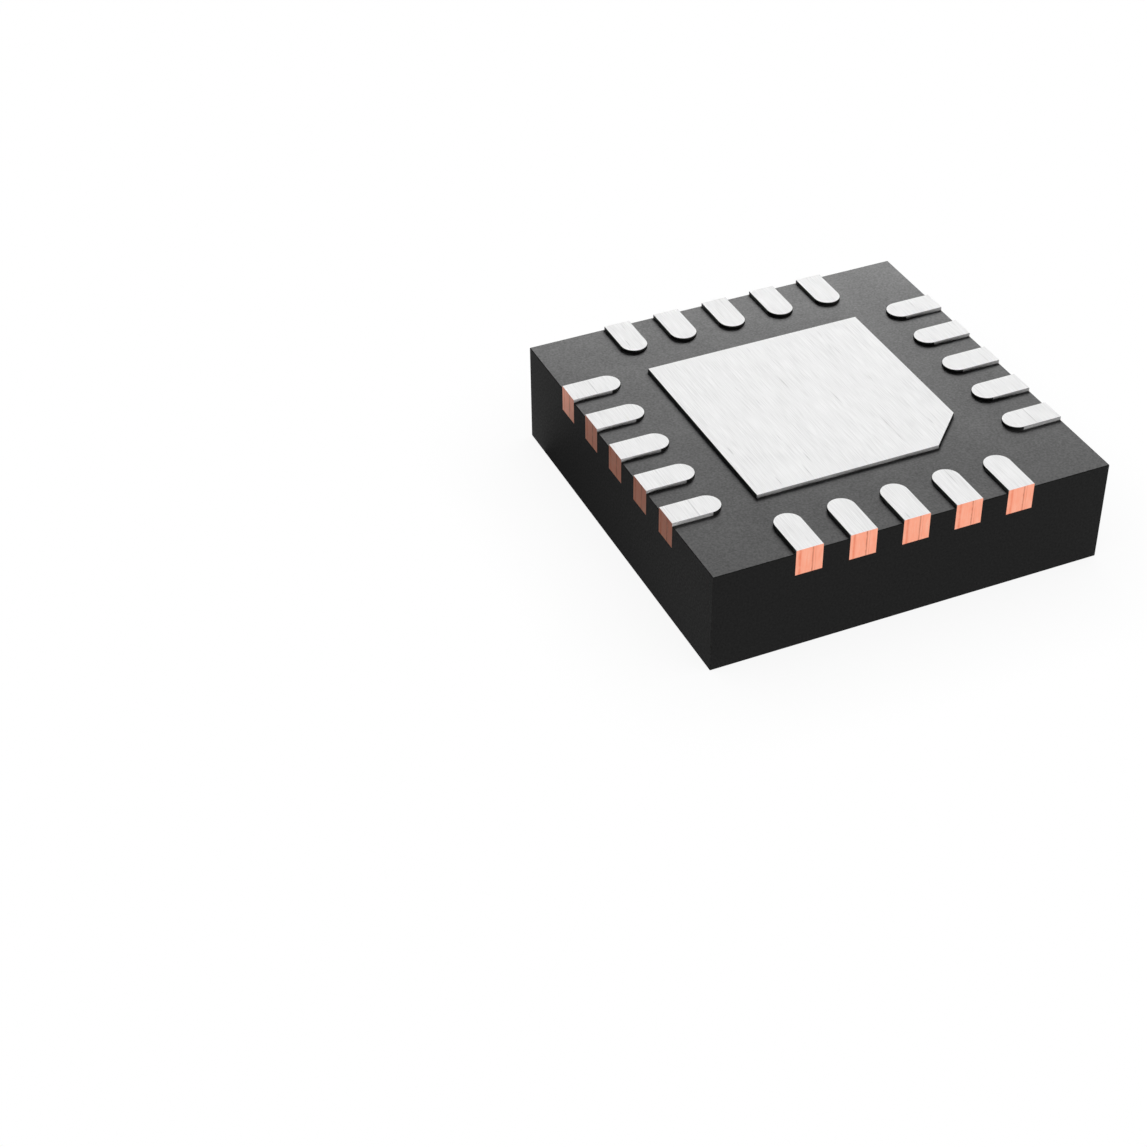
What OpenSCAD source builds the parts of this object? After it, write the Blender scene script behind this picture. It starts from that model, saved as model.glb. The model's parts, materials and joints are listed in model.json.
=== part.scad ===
// Leadless quad flat package: a moulded chip with a row of solder lands on each side
// and an exposed pad, lying on its marked face with the solder side up.
// Millimetres. Origin at the centre of the marked face, +Z out of the solder side.
// Leads are numbered clockwise, seen from the solder side, from the pad's cut corner.

/* [Package] */
// Side of the square moulded body
body_side = 3; // [2.85:0.05:5]
// Height over everything, from the marked face to the plated lands
package_height = 0.8; // [0.7:0.05:1.2]
// How far the plated lands stand above the moulding
standoff = 0.025; // [0.015:0.005:0.05]

/* [Leads] */
// Number of leads on each side
leads_per_side = 5; // [2:1:5]
// Distance from one lead to the next
pitch = 0.4; // [0.35:0.01:0.45]
// Width of a land
land_w = 0.2; // [0.15:0.01:0.25]
// Length of a land, from the sawn end to its round tip
land_l = 0.4; // [0.3:0.05:0.45]
// Length of the thinned lead tip inside the moulding, beyond the land
tip_l = 0.05; // [0.03:0.01:0.1]
// Thickness of the copper lead frame with its tin finish
frame_t = 0.2; // [0.15:0.01:0.25]
// Depth etched away from the solder side under lead tips and the pad's rim
etch_depth = 0.1; // [0.06:0.01:0.13]

/* [Exposed pad] */
// Side of the square exposed pad
pad_side = 1.7; // [1.5:0.05:1.75]
// Leg of the cut corner that marks lead 1
pad_chamfer = 0.3; // [0.1:0.05:0.5]
// Width of the thinned rim that locks the pad into the moulding
pad_rim = 0.06; // [0.02:0.01:0.1]

/* [Tin finish] */
// Thickness of the tin on every copper face outside the moulding, sawn ends apart
tin_t = 0.01; // [0.006:0.001:0.014]

/* [Die] */
// Side of the square silicon die
die_side = 1.2; // [1.1:0.05:1.4]
// Thickness of the silicon die
die_t = 0.2; // [0.1:0.01:0.3]
// Thickness of the adhesive under the die
attach_t = 0.025; // [0.01:0.005:0.05]
// How far the adhesive spreads past the die on each side
attach_margin = 0.03; // [0.01:0.01:0.1]

/* [Bond wires] */
// Diameter of a bond wire
wire_d = 0.025; // [0.018:0.001:0.04]
// Diameter of the flattened ball on the die
ball_d = 0.06; // [0.05:0.005:0.08]
// Thickness of the flattened ball
ball_t = 0.015; // [0.01:0.001:0.02]
// Distance between ball centres along a side of the die
ball_pitch = 0.2; // [0.14:0.01:0.22]
// Distance from the die's edge to the ball centres
ball_inset = 0.08; // [0.05:0.01:0.12]
// Height of the top of the wire loop above the die, at the wire's middle
loop_h = 0.12; // [0.08:0.01:0.2]
// Distance from the ball to the top of the loop, over which the wire bends level
loop_turn = 0.1; // [0.05:0.01:0.15]
// Length of the flattened wire end on the lead
stitch_l = 0.04; // [0.02:0.005:0.06]
// Width of the flattened wire end
stitch_w = 0.05; // [0.03:0.005:0.08]
// Thickness of the flattened wire end
stitch_t = 0.008; // [0.005:0.001:0.015]
// Distance from the end of the lead tip to the flattened wire end
stitch_margin = 0.03; // [0.01:0.01:0.1]

/* [Hidden] */
// Facets of a full circle
$fn = 48;
// How far a cutting solid runs past the face that it opens
overcut = 0.05;
// Flat sides round a bond wire, and the steps along each of its two bends
wire_sides = 8;
bend_steps = 5;

lead_count = 4 * leads_per_side;
pins = [1 : lead_count];
// Levels above the marked face
mold_top = package_height - standoff;
copper_top = package_height - tin_t;
frame_bottom = package_height - frame_t;
etched_top = copper_top - etch_depth;
die_top = frame_bottom - attach_t;
die_face = die_top - die_t;
// Start of a land's round tip, measured from the sawn end
round_start = land_l - land_w / 2;
// How far a 45 degree corner cut grows when its sides are moved out by one
chamfer_growth = 2 - sqrt(2);

function two_digits(n) = n < 10 ? str("0", n) : str(n);
function lead_name(pin) = str("lead_", two_digits(pin));
function wire_name(pin) = str("bond_wire_", two_digits(pin));

// Side of a lead: 0 front, 1 left, 2 back, 3 right
function side_of(pin) = floor((pin - 1) / leads_per_side);
// Place of a lead in its row, in steps from the middle of the side
function step_of(pin) = (leads_per_side - 1) / 2 - (pin - 1) % leads_per_side;

// Moves a piece from the middle of a sawn lead end, +Y inwards, to a lead's own place
module at_pin(pin) {
    rotate([0, 0, -90 * side_of(pin)])
        translate([step_of(pin) * pitch, -body_side / 2, 0])
            children();
}

// A layer between two levels, cut from an outline
module layer(bottom, top) {
    translate([0, 0, bottom])
        linear_extrude(top - bottom)
            children();
}

// Outline of a land, round at its inner end, drawn in by inset and run out past its sawn end
module land_outline(inset = 0, past = 0) {
    r = land_w / 2 - inset;
    translate([-r, -past])
        square([2 * r, round_start + past]);
    translate([0, round_start])
        intersection() {
            circle(r);
            translate([-land_w, 0])
                square([2 * land_w, land_w]);
        }
}

// Outline of the exposed pad with its cut corner, moved out by grow on every side
module pad_outline(grow = 0) {
    h = pad_side / 2 + grow;
    c = pad_chamfer + grow * chamfer_growth;
    polygon([[-h, -h], [h - c, -h], [h, c - h], [h, h], [-h, h]]);
}

// Thinned tip of a lead, which the moulding closes over on the solder side
module lead_tip() {
    translate([-land_w / 2, round_start, frame_bottom])
        cube([land_w, land_l + tip_l - round_start, etched_top - frame_bottom]);
}

// One copper lead: full thickness at its land, drawn in above the moulding to leave room for tin
module lead(pin) {
    color("#f2a07f")
        at_pin(pin) {
            layer(frame_bottom, mold_top)
                land_outline();
            layer(mold_top, copper_top)
                land_outline(inset = tin_t);
            lead_tip();
        }
}

// The room that a lead takes in the moulding, open at the side and at the solder face
module lead_pocket() {
    layer(frame_bottom, mold_top + overcut)
        land_outline(past = overcut);
    lead_tip();
}

// Tin over the copper that stands out of the moulding, open at the sawn end
module land_finish() {
    color("#ececec")
        for (pin = pins)
            at_pin(pin)
                difference() {
                    layer(mold_top, package_height)
                        land_outline();
                    layer(mold_top - overcut, copper_top)
                        land_outline(inset = tin_t, past = overcut);
                }
}

// Copper plate under the die, with a thinned rim all round
module die_paddle() {
    color("#f2a07f") {
        layer(frame_bottom, mold_top)
            pad_outline();
        layer(mold_top, copper_top)
            pad_outline(-tin_t);
        layer(frame_bottom, etched_top)
            pad_outline(pad_rim);
    }
}

// The room that the copper plate takes in the moulding
module paddle_pocket() {
    layer(frame_bottom, mold_top + overcut)
        pad_outline();
    layer(frame_bottom, etched_top)
        pad_outline(pad_rim);
}

// Tin over the face and flanks of the exposed pad
module paddle_finish() {
    color("#ececec")
        difference() {
            layer(mold_top, package_height)
                pad_outline();
            layer(mold_top - overcut, copper_top)
                pad_outline(-tin_t);
        }
}

// Adhesive that holds the die to the copper plate
module die_attach() {
    color("#b9bcc0")
        layer(die_top, frame_bottom)
            square(die_side + 2 * attach_margin, center = true);
}

module silicon_die() {
    color("#5b626e")
        layer(die_face, die_top)
            square(die_side, center = true);
}

// Points along a bend from start to end, which leaves and arrives in line with its corner
function bend(start, corner, end) = [
    for (i = [0 : bend_steps - 1])
        let (t = i / bend_steps)
        pow(1 - t, 2) * start + 2 * (1 - t) * t * corner + t * t * end
];

// Ring of flat sides round a point of the wire, given as [along, up] with a slope in degrees
function ring(at, slope, half_w, half_t) = [
    for (i = [0 : wire_sides - 1])
        let (a = 360 * (i + 0.5) / wire_sides, across = half_w * cos(a), over = half_t * sin(a))
        [at[0] - over * sin(slope), across, at[1] + over * cos(slope)]
];

// Closed tube through rings of equal size, as a solid
module skin(rings) {
    last = len(rings) - 1;
    faces = concat(
        [[for (i = [0 : wire_sides - 1]) i]],
        [for (r = [0 : last - 1], i = [0 : wire_sides - 1])
            let (j = (i + 1) % wire_sides, a = r * wire_sides, b = a + wire_sides)
            each [[a + i, b + i, b + j], [a + i, b + j, a + j]]],
        [[for (i = [wire_sides - 1 : -1 : 0]) last * wire_sides + i]]
    );
    polyhedron([for (r = rings) each r], faces);
}

// One bond wire: a flattened ball on the die, an arch, and a flattened end on the lead's inner face
module bond_wire(pin) {
    // From the ball's centre on the die to the end of the wire on the lead, seen from above
    ball_at = [step_of(pin) * ball_pitch, ball_inset - die_side / 2];
    end_at = [step_of(pin) * pitch, land_l + tip_l - stitch_margin - stitch_l - body_side / 2];
    run = end_at - ball_at;
    reach = norm(run) - stitch_l;
    // Flats of the rings lie at the wire's own half sizes
    flat = cos(180 / wire_sides);
    wire_r = wire_d / 2 / flat;
    stitch_rise = stitch_t / 2 - die_t - attach_t;
    top = [loop_turn, loop_h];
    landing = [reach, stitch_rise];
    path = concat(
        [[0, ball_t / 2]],
        bend([0, ball_t], [0, loop_h], top),
        bend(top, top + [loop_turn, 0], landing),
        [landing]
    );
    arch = [for (i = [0 : len(path) - 2])
        let (step = path[i + 1] - path[max(i - 1, 0)], slope = i < 2 ? 90 : atan2(step[1], step[0]))
        ring(path[i], slope, wire_r, wire_r)];
    stitch = [for (x = [reach, reach + stitch_l])
        ring([x, stitch_rise], 0, stitch_w / 2 / flat, stitch_t / 2 / flat)];
    color("#e3b552")
        rotate([0, 0, -90 * side_of(pin)])
            translate([ball_at[0], ball_at[1], die_face])
                mirror([0, 0, 1]) {
                    cylinder(d = ball_d, h = ball_t);
                    rotate([0, 0, atan2(run[1], run[0])])
                        skin(concat(arch, stitch));
                }
}

// Epoxy moulded round the copper, the die and the wires, sawn square at the sides
module mold_body() {
    color("#2e2e2f")
        difference() {
            layer(0, mold_top)
                square(body_side, center = true);
            paddle_pocket();
            die_attach();
            silicon_die();
            for (pin = pins) {
                at_pin(pin)
                    lead_pocket();
                bond_wire(pin);
            }
        }
}

mold_body();
die_paddle();
land_finish();
paddle_finish();
die_attach();
silicon_die();
for (pin = pins) lead(pin);
for (pin = pins) bond_wire(pin);
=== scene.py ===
"""Looks of a small leadless chip that lies on its marked face, solder side up.

The moulding is a copy of its CAD solid with rounded edges. The tin on the lands and the tin on the pad are
new surfaces over their CAD nodes. The copper leads, the copper pad and everything inside the moulding are the
CAD nodes themselves, with a finish.
"""

import json
import math

import bmesh
import bpy
import numpy as np
from mathutils import Matrix, Vector


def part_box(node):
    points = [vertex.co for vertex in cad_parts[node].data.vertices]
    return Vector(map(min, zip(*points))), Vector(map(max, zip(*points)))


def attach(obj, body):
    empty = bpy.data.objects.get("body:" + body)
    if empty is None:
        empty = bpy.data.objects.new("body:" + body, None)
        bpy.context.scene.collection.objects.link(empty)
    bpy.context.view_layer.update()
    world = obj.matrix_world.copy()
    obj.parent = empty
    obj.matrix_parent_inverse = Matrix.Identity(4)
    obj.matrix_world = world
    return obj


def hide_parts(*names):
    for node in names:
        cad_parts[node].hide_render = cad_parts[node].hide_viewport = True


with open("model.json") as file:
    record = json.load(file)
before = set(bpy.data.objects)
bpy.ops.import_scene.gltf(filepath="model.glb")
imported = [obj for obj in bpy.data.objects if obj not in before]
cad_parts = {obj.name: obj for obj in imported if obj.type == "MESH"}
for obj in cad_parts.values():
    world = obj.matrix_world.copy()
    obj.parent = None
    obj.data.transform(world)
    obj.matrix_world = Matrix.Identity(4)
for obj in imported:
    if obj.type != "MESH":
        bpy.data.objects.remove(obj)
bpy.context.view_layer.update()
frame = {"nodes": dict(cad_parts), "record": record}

MM = 1e-3
UM = 1e-6

# Sizes of the chip, read from the frame
mold_low, mold_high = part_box("mold_body")
lead_low, lead_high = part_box("lead_01")
half_side = mold_high.x
mold_top = mold_high.z
solder_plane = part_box("land_finish")[1].z
copper_top = lead_high.z
land_w = lead_high.x - lead_low.x
pad_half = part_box("paddle_finish")[1].x
tin_t = solder_plane - copper_top
lands = [np.array(m["pos_m"]) for m in frame["record"]["mounts"] if m["name"].startswith("land_")]
row_places = np.sort([place[0] for place in lands if place[1] < -pad_half])
land_l = 2 * (half_side - max(abs(place[1]) for place in lands))

# Sizes that the frame doesn't give, and the steps that rounded edges and tips are made in
PAD_CUT = 0.3 * MM
MOLD_EDGE_R = 5 * UM
TIN_EDGE_R = 2 * UM
EDGE_STEPS = 4
TIP_STEPS = 40
# Hairline scratches along the brush marks: the x and y of each one's middle, and its length
SCRATCHES = np.array((
    (-0.05, 0.29, 0.2), (0.2, -0.04, 0.22), (0.36, -0.64, 0.2), (0.36, -0.46, 0.25), (-0.335, -0.6, 0.15),
    (-0.41, -0.74, 0.2), (-0.055, -1.46, 0.1), (0.43, -1.21, 0.22), (-1.295, -0.8, 0.4), (-1.31, 0.8, 0.35),
    (1.31, -0.8, 0.4), (1.32, 0.83, 0.15))) * MM
SCRATCH_HALF_W = 6 * UM
# Points of the moulding closer than this are one point, and faces that meet flatter than this are one face
JOIN_REACH = 0.05 * UM
FLAT_ANGLE = math.radians(0.2)
# Places of the finishes in the list that a tin shell has. The third is near-black tin that holds painted
# shade
TOP, FLANK, PAINTED_SHADE_FLANK, SAWN_END = range(4)

# Light: a large soft lamp behind the chip to the right, a fan of far ones in front just above the floor, a
# small low one on the left, and little from elsewhere
AMBIENT = 0.02
KEY_PLACE = np.array((4.7, 7.9, 5.9)) * MM
KEY_AIM = np.array((-2.2, 4.5, 0.8)) * MM
KEY_SIZE = 5.2 * MM
KEY_BRIGHTNESS = 36
FILL_HEIGHT = math.radians(2.2)
FILL_BEARINGS = np.radians((3, 14, 25, 36, 47))
FILL_WIDTH = math.radians(6)
FILL_STRENGTH = 5.1
KICKER_PLACE = np.array((-3.9, -1.5, 0.2)) * MM
KICKER_AIM = np.array((-1.5, -0.9, 0.2)) * MM
KICKER_SIZE = 0.8 * MM
KICKER_BRIGHTNESS = 87
FLOOR_REACH = 300 * half_side
SHADOW_REACH = 1.0 * MM
SHADOW_DEPTH = 0.14
SHADOW_SAMPLES = 16
# A bent dark card on the left, seen in gloss alone, that puts a painted dark reflection on the chip's left
# side:
# it lies on the floor from the chip's side outwards, and then stands up. Its back end slants, and lies
# further back the further out it is
CARD_ENDS = np.array((-3.0, 1.26)) * MM
CARD_SKEW = 1.45
CARD_WIDTH = 2.5 * MM
CARD_HEIGHT = 4 * MM
CARD_LIFT = 2 * UM
CARD_GREY = 0.215

# The photograph's view: frame width and focal length in pixels, the turns of the camera about its own axes,
# and where the middle of the moulding's solder face lies to the right of, below and in front of the camera
PHOTO_WIDTH_PX = 1147
FOCAL_PX = 2289.3
VIEW_TURNS = np.radians((127.992, -0.548, 23.772))
MIDDLE_IN_VIEW = np.array((1.6566, -1.1942, 16.1305)) * MM
SENSOR_MM = 36
CLIP_NEAR = 0.1 * MM
CLIP_FAR = 2.0


class Tap:
    """A shader socket in an expression: each operator adds one Math node to the socket's tree."""

    def __init__(self, tree, socket=None):
        self.tree = tree
        self.socket = socket

    def node(self, kind, settings=None, sockets=None, output=0):
        """Adds a node of any kind, with its settings first and then its socket values or links."""
        made = self.tree.nodes.new(kind)
        for key, value in (settings or {}).items():
            setattr(made, key, value)
        for key, value in (sockets or {}).items():
            if isinstance(value, Tap):
                self.tree.links.new(value.socket, made.inputs[key])
            else:
                made.inputs[key].default_value = value
        return Tap(self.tree, made.outputs[output] if made.outputs else None)

    def math(self, operation, first, second=0.0):
        return self.node("ShaderNodeMath", {"operation": operation}, {0: first, 1: second})

    def __add__(self, other):
        return self.math("ADD", self, other)

    def __sub__(self, other):
        return self.math("SUBTRACT", self, other)

    def __rsub__(self, other):
        return self.math("SUBTRACT", other, self)

    def __mul__(self, other):
        return self.math("MULTIPLY", self, other)

    __radd__ = __add__
    __rmul__ = __mul__


def finish(name):
    """A new material with an empty tree, and the tap that builds it."""
    material = bpy.data.materials.new(name)
    material.use_nodes = True
    material.node_tree.nodes.clear()
    return material, Tap(material.node_tree)


def place_on_piece(tap):
    """The point being shaded, in the piece's own coordinates."""
    return tap.node("ShaderNodeTexCoord", output="Object")


def along_x_and_y(tap, place):
    """How far a point lies along x and along y."""
    return [tap.node("ShaderNodeSeparateXYZ", sockets={"Vector": place}, output=axis) for axis in "XY"]


def cloud(tap, place, grain, detail=2.0):
    """Soft noise around one half. grain is the length of a typical feature along x, y and z, in metres."""
    scaled = tap.node("ShaderNodeMapping", sockets={"Vector": place, "Scale": [1 / g for g in grain]})
    return tap.node("ShaderNodeTexNoise", sockets={"Vector": scaled, "Scale": 1.0, "Detail": detail})


def ramp(tap, value, low, high, start=0.0, end=1.0):
    """Carries value from the range low to high over to the range start to end, and holds it there."""
    return tap.node("ShaderNodeMapRange", sockets={
        "Value": value, "From Min": low, "From Max": high, "To Min": start, "To Max": end})


def blend_colours(tap, share, first, second):
    """The first colour where share is 0, the second where it is 1. Colours are linear red, green and blue."""
    ends = [c if isinstance(c, Tap) else (*c, 1.0) for c in (first, second)]
    return tap.node("ShaderNodeMix", {"data_type": "RGBA"}, {0: share, 6: ends[0], 7: ends[1]}, output=2)


def relief(tap, height, depth):
    """A shading normal for a surface that rises by depth metres where height is 1."""
    return tap.node("ShaderNodeBump", sockets={"Strength": 1.0, "Distance": depth, "Height": height})


def surface(tap, sockets):
    """Ends a material in one shader with these sockets."""
    shader = tap.node("ShaderNodeBsdfPrincipled", sockets=sockets)
    tap.node("ShaderNodeOutputMaterial", sockets={"Surface": shader})


def moulded_epoxy():
    """Matte grey face that left the mould: filler grains as a fine speckle, and soft cloudiness."""
    material, tap = finish("moulded_epoxy")
    place = place_on_piece(tap)
    grains = cloud(tap, place, (15 * UM, 15 * UM, 15 * UM), 4.0)
    mottle = cloud(tap, place, (260 * UM, 260 * UM, 260 * UM))
    shade = ramp(tap, grains * 0.8 + mottle * 0.2, 0.29, 0.71)
    surface(tap, {
        "Base Color": blend_colours(tap, shade, (0.093, 0.093, 0.093), (0.157, 0.157, 0.157)),
        "Roughness": ramp(tap, grains, 0.3, 0.7, 0.72, 0.58),
        "Specular IOR Level": 0.03,
        "Normal": relief(tap, grains, 0.6 * UM),
    })
    return material


def sawn_epoxy_painted_shade():
    """Side that the saw cut: cut filler grains and very faint level blade marks. Its near black, far darker
    than the same compound's moulded face, is partly painted shade.
    """
    material, tap = finish("sawn_epoxy_painted_shade")
    place = place_on_piece(tap)
    marks = cloud(tap, place, (700 * UM, 700 * UM, 10 * UM), 3.0)
    grains = cloud(tap, place, (15 * UM, 15 * UM, 15 * UM), 4.0)
    shade = ramp(tap, grains * 0.85 + marks * 0.15, 0.28, 0.72)
    surface(tap, {
        "Base Color": blend_colours(tap, shade, (0.0038, 0.0038, 0.0038), (0.0092, 0.0092, 0.0092)),
        "Roughness": ramp(tap, grains, 0.3, 0.7, 0.62, 0.5),
        "Specular IOR Level": 0.05,
        "Normal": relief(tap, grains, 0.5 * UM),
    })
    return material


def scratched(tap, place):
    """1 along the middle of each scratch, which fades to 0 at its sides and ends."""
    x, y = along_x_and_y(tap, place)
    found = 0.0
    for middle_x, middle_y, length in SCRATCHES:
        across = ramp(tap, tap.math("ABSOLUTE", x - middle_x), 0.0, SCRATCH_HALF_W, 1.0, 0.0)
        along = ramp(tap, tap.math("ABSOLUTE", y - middle_y), 0.0, length / 2, 1.0, 0.0)
        found = found + across * along
    return found


def brushed_tin():
    """Pale matte tin with fine brush marks along y, short and long, a few dark hairlines and scratches."""
    material, tap = finish("brushed_tin")
    place = place_on_piece(tap)
    short = cloud(tap, place, (5.5 * UM, 200 * UM, 40 * UM), 1.0)
    long = cloud(tap, place, (4.2 * UM, 900 * UM, 40 * UM), 1.0)
    patches = ramp(tap, cloud(tap, place, (130 * UM, 300 * UM, 200 * UM)), 0.35, 0.65, 0.7, 1.0)
    marks = 1.0 - ramp(tap, short * 0.6 + long * 0.4, 0.64, 0.32) * patches
    hairlines = ramp(tap, cloud(tap, place, (8 * UM, 220 * UM, 60 * UM), 0.0), 0.8, 0.88)
    pale = blend_colours(tap, marks, (0.735, 0.735, 0.735), (0.903, 0.903, 0.903))
    lined = blend_colours(tap, hairlines, pale, (0.64, 0.64, 0.64))
    surface(tap, {
        "Base Color": blend_colours(tap, scratched(tap, place), lined, (0.57, 0.57, 0.57)),
        "Metallic": 0.96,
        "Roughness": ramp(tap, marks, 0.0, 1.0, 0.48, 0.36),
        "Normal": relief(tap, marks, 0.2 * UM),
    })
    return material


def dull_tin(name, dark, light):
    """Dull grainy tin on the flanks of the lands and the pad, which no brush reached. Its colour is set far
    below the top's tin, partly as painted shade, and its near-black copy is wholly painted shade.
    """
    material, tap = finish(name)
    grain = ramp(tap, cloud(tap, place_on_piece(tap), (14 * UM, 14 * UM, 7 * UM)), 0.3, 0.7)
    surface(tap, {
        "Base Color": blend_colours(tap, grain, (dark, dark, dark), (light, light, light)),
        "Roughness": ramp(tap, grain, 0.0, 1.0, 0.75, 0.6),
        "Specular IOR Level": 0.05,
    })
    return material


def across_end(tap, place):
    """How far across its lead's sawn end a point lies, seen from outside: 0 at the left edge, 1 at the right.

    Pitches are counted along the side from four before its first lead, so that no count is negative.
    """
    x, y = along_x_and_y(tap, place)
    on_front_or_back = tap.math("GREATER_THAN", tap.math("ABSOLUTE", y), tap.math("ABSOLUTE", x))
    along_left_or_right = y * tap.math("SIGN", x)
    along_front_or_back = x * tap.math("SIGN", y) * -1.0
    along_side = along_left_or_right + on_front_or_back * (along_front_or_back - along_left_or_right)
    pitch = row_places[1] - row_places[0]
    steps = (along_side - (row_places[0] - land_w / 2 - 4 * pitch)) * (1 / pitch)
    return tap.math("FRACT", steps) * (pitch / land_w)


def sawn_copper():
    """Bare copper that the saw cut: fine upright marks, soft smears, a red line and a thin dark one."""
    material, tap = finish("sawn_copper")
    place = place_on_piece(tap)
    fine = cloud(tap, place, (6 * UM, 6 * UM, 130 * UM), 2.0)
    wander = cloud(tap, place, (300 * UM, 300 * UM, 45 * UM), 2.0)
    across = across_end(tap, place) + (wander - 0.5) * 0.05
    red_line, dark_line, faint_line = [
        ramp(tap, tap.math("ABSOLUTE", across - middle), 0.0, half_width, depth, 0.0)
        for middle, half_width, depth in ((0.15, 0.07, 1.0), (0.62, 0.04, 1.0), (0.72, 0.02, 0.4))]
    wear = ramp(tap, wander, 0.3, 0.6, 0.4, 1.0)
    smears = cloud(tap, place, (28 * UM, 28 * UM, 70 * UM), 2.0)
    marks = ramp(tap, fine * 0.6 + smears * 0.4, 0.28, 0.72)
    clean = blend_colours(tap, marks, (0.98, 0.342, 0.212), (1.0, 0.482, 0.342))
    ruddy = blend_colours(tap, red_line * wear, clean, (0.84, 0.23, 0.13))
    surface(tap, {
        "Base Color": blend_colours(tap, (dark_line + faint_line) * wear, ruddy, (0.5, 0.15, 0.09)),
        "Metallic": 1.0,
        "Roughness": ramp(tap, marks, 0.0, 1.0, 0.4, 0.26),
        "Normal": relief(tap, marks, 0.3 * UM),
    })
    return material


def plain_metal(name, dark, light, grain, roughness):
    """Metal with fine even grain, for the pieces inside the moulding."""
    material, tap = finish(name)
    shade = ramp(tap, cloud(tap, place_on_piece(tap), (grain, grain, grain)), 0.3, 0.7)
    surface(tap, {
        "Base Color": blend_colours(tap, shade, dark, light),
        "Metallic": 1.0,
        "Roughness": ramp(tap, shade, 0.0, 1.0, roughness + 0.08, roughness),
    })
    return material


def polished_silicon():
    """Blue-grey silicon with a grid of faint circuit blocks."""
    material, tap = finish("polished_silicon")
    place = place_on_piece(tap)
    blocks = tap.node("ShaderNodeTexVoronoi", {"distance": "CHEBYCHEV", "feature": "F1"}, {
        "Vector": place, "Scale": 1 / (110 * UM)}, output="Color")
    shade = tap.node("ShaderNodeSeparateColor", sockets={"Color": blocks})
    surface(tap, {
        "Base Color": blend_colours(tap, shade, (0.09, 0.1, 0.13), (0.16, 0.17, 0.2)),
        "Metallic": 0.6,
        "Roughness": ramp(tap, shade, 0.0, 1.0, 0.16, 0.26),
    })
    return material


def quarter_round(radius):
    """Points of a quarter circle from flank to top: how far each is drawn in, and how far below the top."""
    angle = np.linspace(0, math.pi / 2, EDGE_STEPS + 1)
    return radius * (1 - np.cos(angle)), radius * (1 - np.sin(angle))


def carry(outline, outwards, drawn_in, level):
    """A profile carried along an outline: a point is outline minus outwards times drawn_in, at level."""
    flat = outline[None, :, :] - outwards[None, :, :] * drawn_in[:, None, None]
    height = np.broadcast_to(level[:, None, None], (*flat.shape[:2], 1))
    return np.concatenate([flat, height], axis=2)


def strips(rows, columns, closed):
    """Faces between neighbouring rows of points. The outline runs counter-clockwise, and the rows upwards."""
    row = np.asarray(rows)[:, None]
    column = np.arange(columns if closed else columns - 1)[None, :]
    after = (column + 1) % columns
    low, high = row[:-1] * columns, row[1:] * columns
    return np.stack([low + column, low + after, high + after, high + column], axis=-1).reshape(-1, 4)


def make_piece(mesh, materials, node):
    """A new object with this mesh that stands for a CAD node."""
    for material in materials:
        mesh.materials.append(material)
    piece = bpy.data.objects.new(mesh.name, mesh)
    bpy.context.scene.collection.objects.link(piece)
    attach(piece, "root")
    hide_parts(node)


def moulding():
    """The moulding's own solid with its twelve outer edges rounded, and its sides sawn.

    Planes that an edge's two ends share tell the outer edges: two of the block's six planes meet there.
    """
    solid = bmesh.new()
    solid.from_mesh(frame["nodes"]["mold_body"].data)
    bmesh.ops.remove_doubles(solid, verts=solid.verts, dist=JOIN_REACH)
    bmesh.ops.dissolve_limit(solid, angle_limit=FLAT_ANGLE, verts=solid.verts, edges=solid.edges)
    low, high = np.array(mold_low), np.array(mold_high)
    at = np.array([vertex.co for vertex in solid.verts])
    on_plane = np.concatenate([np.abs(at - low) < JOIN_REACH, np.abs(at - high) < JOIN_REACH], axis=1)
    solid.verts.index_update()
    ends = np.array([[vertex.index for vertex in edge.verts] for edge in solid.edges])
    outer = np.sum(on_plane[ends[:, 0]] & on_plane[ends[:, 1]], axis=1) == 2
    rounded = [edge for edge, chosen in zip(solid.edges, outer) if chosen]
    bmesh.ops.bevel(solid, geom=rounded, offset=MOLD_EDGE_R, offset_type="OFFSET", segments=EDGE_STEPS,
                    profile=0.5, affect="EDGES", clamp_overlap=True)
    mesh = bpy.data.meshes.new("moulding")
    solid.to_mesh(mesh)
    solid.free()
    make_piece(mesh, [moulded_epoxy(), sawn_epoxy_painted_shade()], "mold_body")
    centres = np.zeros(3 * len(mesh.polygons))
    mesh.polygons.foreach_get("center", centres)
    from_middle = np.max(np.abs(centres.reshape(-1, 3)[:, :2]), axis=1)
    # The sawn sides take the near-black epoxy, which holds painted shade
    mesh.polygons.foreach_set("material_index", (from_middle > half_side - MOLD_EDGE_R).astype(np.int32))


def shell_profile():
    """Section of the tin over copper: up the flank, round the edge, then inside along the copper and down."""
    inwards, below = quarter_round(TIN_EDGE_R)
    drawn_in = np.concatenate([[0], inwards, [tin_t, tin_t]])
    level = np.concatenate([[mold_top], solder_plane - below, [copper_top, mold_top]])
    return drawn_in, level


def shell_faces(columns, closed):
    """Faces of a tin shell: outer flank and edge, inner wall, foot, top, and the ceiling over the copper."""
    edge_row = EDGE_STEPS + 1
    ceiling_row, foot_row = edge_row + 1, edge_row + 2
    column = np.arange(columns)
    outer = strips(range(edge_row + 1), columns, closed)
    inner = strips((ceiling_row, foot_row), columns, closed)
    foot = strips((foot_row, 0), columns, closed)
    return [*outer, *inner, *foot, edge_row * columns + column, (ceiling_row * columns + column)[::-1]]


def shell_mesh(name, points, faces, finishes, smooth):
    """A mesh from points and faces, each face with its place in the list of finishes, and smooth or flat."""
    mesh = bpy.data.meshes.new(name)
    mesh.from_pydata(points.tolist(), [], [face.tolist() for face in faces])
    mesh.polygons.foreach_set("material_index", finishes.astype(np.int32))
    mesh.polygons.foreach_set("use_smooth", smooth)
    return mesh


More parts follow.
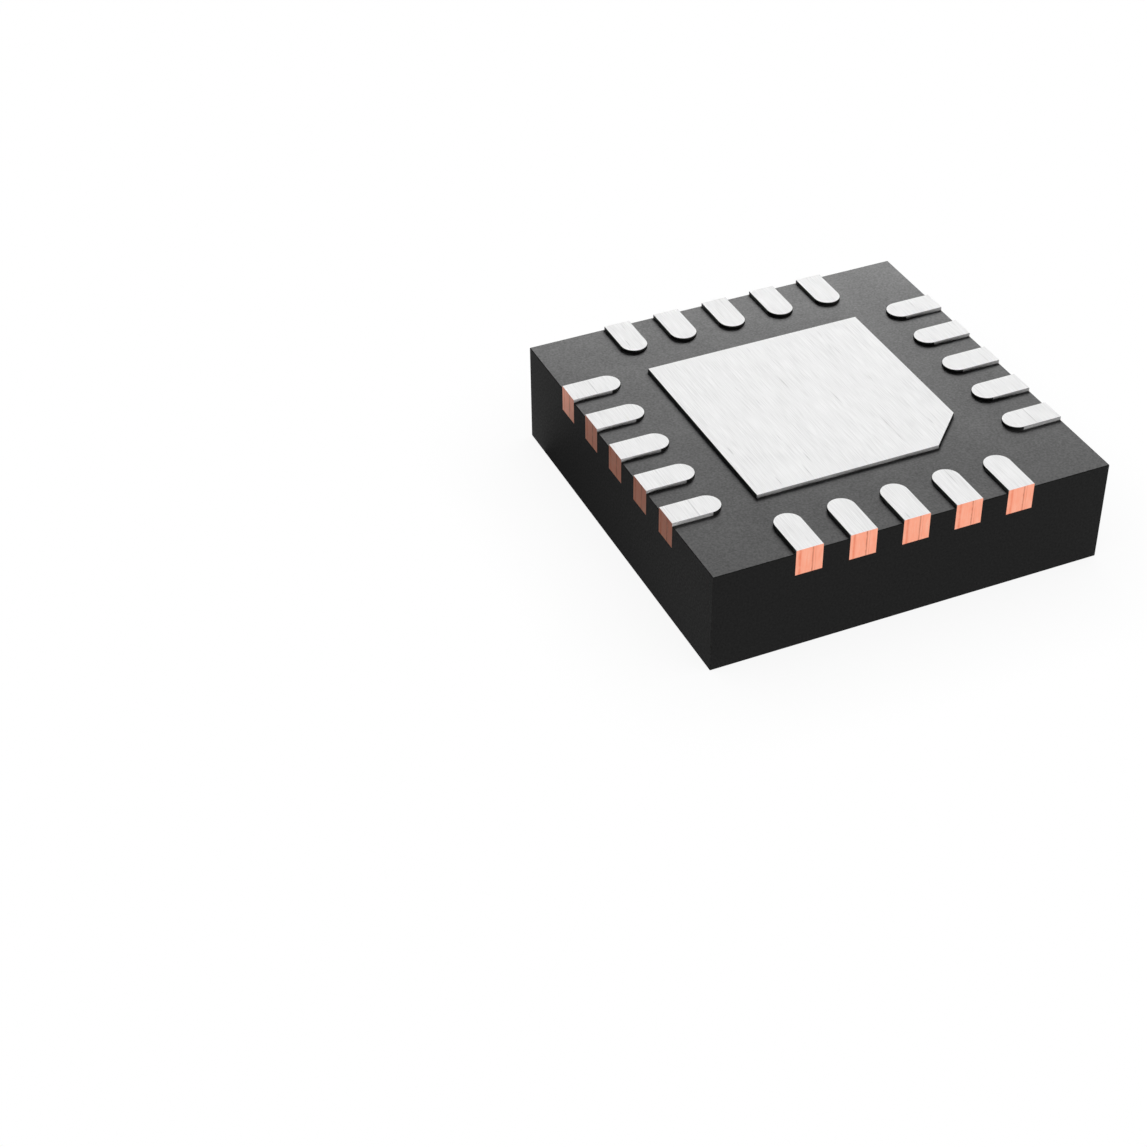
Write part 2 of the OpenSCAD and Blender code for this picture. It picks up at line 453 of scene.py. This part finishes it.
def land_shells(tin, flank, tip_tin_painted_shade, copper):
    """Tin on the lands: the section carried up one flank, round the tip and down the other.

    The flank and its rounded edge are the first rows of faces, and their round part lies between the tip's
    first and last point. The last face closes the sawn end.
    """
    radius = land_w / 2
    tip = np.linspace(0, math.pi, TIP_STEPS + 1)
    round_tip = np.stack([np.cos(tip), np.sin(tip)], axis=1)
    outline = np.concatenate([[(radius, 0)], (0, land_l - radius) + radius * round_tip, [(-radius, 0)]])
    outwards = np.concatenate([[(1, 0)], round_tip, [(-1, 0)]])
    columns = len(outline)
    one = carry(outline, outwards, *shell_profile()).reshape(-1, 3)
    edge_row, left = EDGE_STEPS + 1, columns - 1
    ceiling, foot = (edge_row + 1) * columns, (edge_row + 2) * columns
    right_rows = np.arange(edge_row + 1) * columns
    inside = [foot + left, ceiling + left, ceiling, foot]
    sawn_end = np.concatenate([inside, right_rows, (right_rows + left)[::-1]])
    one_faces = [*shell_faces(columns, closed=False), sawn_end]
    one_finishes = np.full(len(one_faces), TOP)
    flank_rows = one_finishes[:edge_row * (columns - 1)].reshape(edge_row, columns - 1)
    flank_rows[:] = FLANK
    # The flanks of the round tips take the near-black tin: painted shade
    flank_rows[:, 1:1 + TIP_STEPS] = PAINTED_SHADE_FLANK
    one_finishes[-1] = SAWN_END
    points, faces = [], []
    for number, place in enumerate(lands):
        inwards = -np.sign(place[:2]) * (np.abs(place[:2]) > pad_half)
        across = np.array((inwards[1], -inwards[0]))
        start = place[:2] - inwards * land_l / 2
        flat = start + one[:, :1] * across + one[:, 1:2] * inwards
        points.append(np.concatenate([flat, one[:, 2:]], axis=1))
        faces += [face + number * len(one) for face in one_faces]
    finishes = np.tile(one_finishes, len(lands))
    mesh = shell_mesh("land_tin", np.concatenate(points), faces, finishes, finishes == PAINTED_SHADE_FLANK)
    make_piece(mesh, [tin, flank, tip_tin_painted_shade, copper], "land_finish")


def pad_shell(tin, flank, cut_tin_painted_shade):
    """Tin on the pad: the section carried round a square with one cut corner, mitred at every corner.

    A corner's mitre is the sum of the two sides' normals, over one plus their product. The flank and its
    rounded edge are the first rows of faces, and the second face of a row is the cut corner's.
    """
    h, c = pad_half, PAD_CUT
    outline = np.array([(-h, -h), (h - c, -h), (h, c - h), (h, h), (-h, h)])
    edge = np.roll(outline, -1, axis=0) - outline
    normal = np.stack([edge[:, 1], -edge[:, 0]], axis=1) / np.linalg.norm(edge, axis=1)[:, None]
    before = np.roll(normal, 1, axis=0)
    mitre = (before + normal) / (1 + np.sum(before * normal, axis=1))[:, None]
    points = carry(outline, mitre, *shell_profile()).reshape(-1, 3)
    faces = shell_faces(len(outline), closed=True)
    finishes = np.full(len(faces), TOP)
    flank_rows = finishes[:(EDGE_STEPS + 1) * len(outline)].reshape(EDGE_STEPS + 1, len(outline))
    flank_rows[:] = FLANK
    # The cut corner's flank takes the near-black tin: painted shade
    flank_rows[:, 1] = PAINTED_SHADE_FLANK
    mesh = shell_mesh("pad_tin", points, faces, finishes, np.zeros(len(faces), dtype=bool))
    make_piece(mesh, [tin, flank, cut_tin_painted_shade], "paddle_finish")


def dress(node, material):
    """Gives a CAD node its finish."""
    slots = frame["nodes"][node].data.materials
    slots.clear()
    slots.append(material)


def backdrop_rays(tap):
    """1 for the rays that show the background: those from the camera, off gloss and through glass.

    Light that then falls on a matte surface isn't one of them.
    """
    kinds = ("Camera", "Glossy", "Transmission")
    rays = [tap.node("ShaderNodeLightPath", output="Is %s Ray" % kind) for kind in kinds]
    shown = tap.math("MAXIMUM", tap.math("MAXIMUM", rays[0], rays[1]), rays[2])
    return shown * tap.math("LESS_THAN", tap.node("ShaderNodeLightPath", output="Diffuse Depth"), 0.5)


def surroundings():
    """White all round where it shows, and dim where it only lights the chip."""
    world = bpy.data.worlds.new("studio")
    bpy.context.scene.world = world
    world.use_nodes = True
    world.node_tree.nodes.clear()
    tap = Tap(world.node_tree)
    dim = tap.node("ShaderNodeBackground", sockets={"Color": (1, 1, 1, 1), "Strength": AMBIENT})
    white = tap.node("ShaderNodeBackground", sockets={"Color": (1, 1, 1, 1), "Strength": 1.0})
    shown = tap.node("ShaderNodeMixShader", sockets={0: backdrop_rays(tap), 1: dim, 2: white})
    tap.node("ShaderNodeOutputWorld", sockets={"Surface": shown})


def stage_sheet(name, corners, faces, material):
    """A sheet that belongs to the studio."""
    mesh = bpy.data.meshes.new(name)
    mesh.from_pydata(corners, [], faces)
    mesh.materials.append(material)
    sheet = bpy.data.objects.new(name, mesh)
    bpy.context.scene.collection.objects.link(sheet)
    return sheet


def floor():
    """Pale floor that the chip lies on: white where it shows, with the chip's soft shadow close to it."""
    material, tap = finish("pale_floor")
    open_sky = tap.node("ShaderNodeAmbientOcclusion", {"samples": SHADOW_SAMPLES}, {"Distance": SHADOW_REACH},
                        output="AO")
    shade = blend_colours(tap, open_sky, [1 - SHADOW_DEPTH] * 3, (1.0, 1.0, 1.0))
    pale = tap.node("ShaderNodeEmission", sockets={"Color": shade})
    matte = tap.node("ShaderNodeBsdfDiffuse", sockets={"Color": (0.8, 0.8, 0.8, 1)})
    seen = tap.node("ShaderNodeMixShader", sockets={0: backdrop_rays(tap), 1: matte, 2: pale})
    tap.node("ShaderNodeOutputMaterial", sockets={"Surface": seen})
    far = FLOOR_REACH
    corners = [(-far, -far, 0), (far, -far, 0), (far, far, 0), (-far, far, 0)]
    stage_sheet("floor", corners, [(0, 1, 2, 3)], material)


def dark_card():
    """Dark card that lies on the floor to the left and then stands up. It shows in gloss alone, as a painted
    dark reflection on the chip's left side.
    """
    material, tap = finish("dark_card")
    grey = tap.node("ShaderNodeEmission", sockets={"Strength": CARD_GREY})
    tap.node("ShaderNodeOutputMaterial", sockets={"Surface": grey})
    far = -half_side - CARD_WIDTH
    bends = [(-half_side, CARD_LIFT), (far, CARD_LIFT), (far, CARD_HEIGHT)]
    corners = [(x, y - CARD_SKEW * (x + half_side) * (y > 0), z) for x, z in bends for y in CARD_ENDS]
    card = stage_sheet("dark_card", corners, [(0, 1, 3, 2), (2, 3, 5, 4)], material)
    for rays in ("camera", "diffuse", "transmission", "volume_scatter", "shadow"):
        setattr(card, "visible_" + rays, False)


def lamp(name, place, aim, size, brightness):
    """A square soft lamp. Its power goes with its area, so brightness alone says how bright its face is."""
    data = bpy.data.lights.new(name, "AREA")
    data.shape = "SQUARE"
    data.size = size
    data.energy = brightness * math.pi * size * size
    made = bpy.data.objects.new(name, data)
    bpy.context.scene.collection.objects.link(made)
    made.location = place
    made.rotation_euler = (Vector(aim) - Vector(place)).to_track_quat("-Z", "Y").to_euler()
    made.visible_camera = False
    made.visible_glossy = False


def far_lamp(name, height, bearing, width, strength):
    """A far lamp in front: its height above the floor, its bearing to the right and its width are angles."""
    data = bpy.data.lights.new(name, "SUN")
    data.angle = width
    data.energy = strength
    made = bpy.data.objects.new(name, data)
    bpy.context.scene.collection.objects.link(made)
    made.rotation_euler = (math.pi / 2 - height, 0, bearing)
    made.visible_camera = False
    made.visible_glossy = False


def camera():
    """The photograph's camera: the three turns give its axes, and the chip's place in view gives its own."""
    (cx, cy, cz), (sx, sy, sz) = np.cos(VIEW_TURNS), np.sin(VIEW_TURNS)
    pitch = np.array([[1, 0, 0], [0, cx, -sx], [0, sx, cx]])
    roll = np.array([[cy, 0, sy], [0, 1, 0], [-sy, 0, cy]])
    turn = np.array([[cz, -sz, 0], [sz, cz, 0], [0, 0, 1]])
    axes = pitch @ roll @ turn
    place = np.array((0, 0, mold_top)) - MIDDLE_IN_VIEW @ axes
    right, down, forward = axes
    data = bpy.data.cameras.new("camera")
    data.sensor_width = SENSOR_MM
    data.lens = SENSOR_MM * FOCAL_PX / PHOTO_WIDTH_PX
    data.clip_start = CLIP_NEAR
    data.clip_end = CLIP_FAR
    made = bpy.data.objects.new("camera", data)
    bpy.context.scene.collection.objects.link(made)
    turned = np.stack([right, -down, -forward], axis=1)
    made.matrix_world = Matrix([(*row, at) for row, at in zip(turned, place)] + [(0, 0, 0, 1)])
    bpy.context.scene.camera = made


tin = brushed_tin()
copper = sawn_copper()
gold = plain_metal("gold_wire", (0.8, 0.5, 0.15), (0.95, 0.66, 0.25), 12 * UM, 0.2)
# Grey tin for the straight flanks: dull tin, darkened far below the top's tin partly as painted shade
flank = dull_tin("grey_tin", 0.15, 0.21)
# Near-black tin for the round tips and the cut corner: painted shade
shade_painted_tin = dull_tin("tin_with_painted_shade", 0.005, 0.012)
moulding()
land_shells(tin, flank, shade_painted_tin, copper)
pad_shell(tin, flank, shade_painted_tin)
dress("die_paddle", copper)
dress("silicon_die", polished_silicon())
dress("die_attach", plain_metal("silver_adhesive", (0.4, 0.41, 0.42), (0.6, 0.61, 0.62), 15 * UM, 0.5))
for node in frame["nodes"]:
    if node.startswith("lead_"):
        dress(node, copper)
    if node.startswith("bond_wire_"):
        dress(node, gold)

surroundings()
floor()
dark_card()
lamp("key", KEY_PLACE, KEY_AIM, KEY_SIZE, KEY_BRIGHTNESS)
for number, bearing in enumerate(FILL_BEARINGS):
    far_lamp("fill_%d" % number, FILL_HEIGHT, bearing, FILL_WIDTH, FILL_STRENGTH / len(FILL_BEARINGS))
lamp("kicker", KICKER_PLACE, KICKER_AIM, KICKER_SIZE, KICKER_BRIGHTNESS)
camera()
bpy.context.scene.view_settings.view_transform = "Standard"
